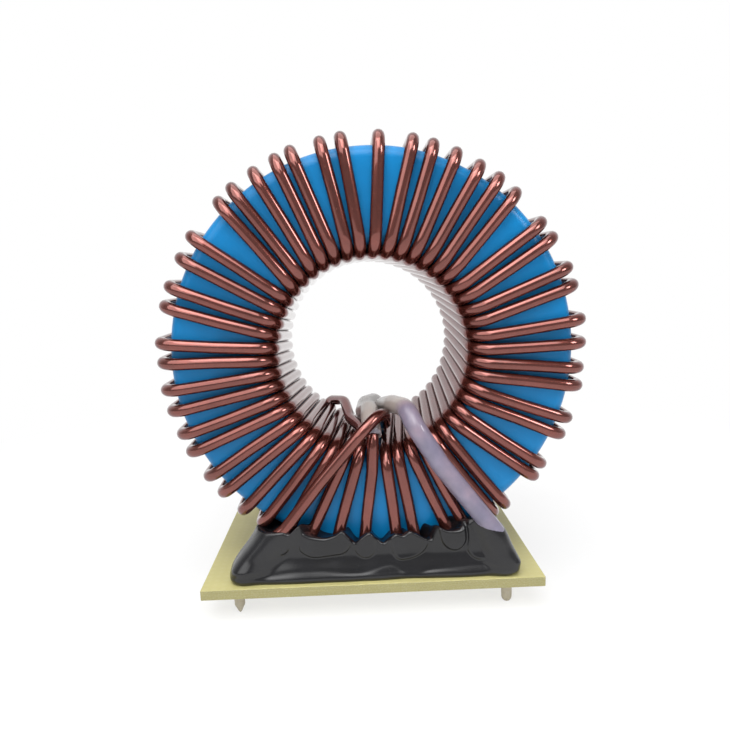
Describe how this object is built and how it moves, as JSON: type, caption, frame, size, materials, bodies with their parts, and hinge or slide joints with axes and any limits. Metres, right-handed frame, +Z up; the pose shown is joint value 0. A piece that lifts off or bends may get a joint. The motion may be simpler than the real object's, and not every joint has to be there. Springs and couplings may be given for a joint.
{
  "type": "toroidal inductor",
  "caption": "Toroidal power inductor: a blue coated ring core wound with enamelled copper wire, glued upright with black glue to a small fibre board on tinned pins.",
  "frame": {"origin": "centre of the base board's underside, which sits on the circuit board, midway between the four pins", "axes": "+Z up from the board, +Y along the ring's axis towards the rear, +X to the right as seen from the front"},
  "size_m": [0.0668, 0.0362, 0.0729],
  "materials": {
    "core_coat": "satin epoxy coat",
    "wire_enamel": "glossy enamel over copper",
    "sleeve": "milky translucent tube",
    "board": "bare glass-fibre laminate",
    "glue": "glossy cured glue",
    "tinned_end": "dull solder-dipped tin"
  },
  "bodies": {
    "root": {"core": "core_coat", "strand_a": "wire_enamel", "strand_b": "wire_enamel", "sleeve_front": "sleeve", "sleeve_rear": "sleeve", "base_board": "board", "glue": "glue", "pin_front_left": "tinned_end", "pin_front_right": "tinned_end", "pin_rear_left": "tinned_end", "pin_rear_right": "tinned_end"}
  },
  "joints": []
}
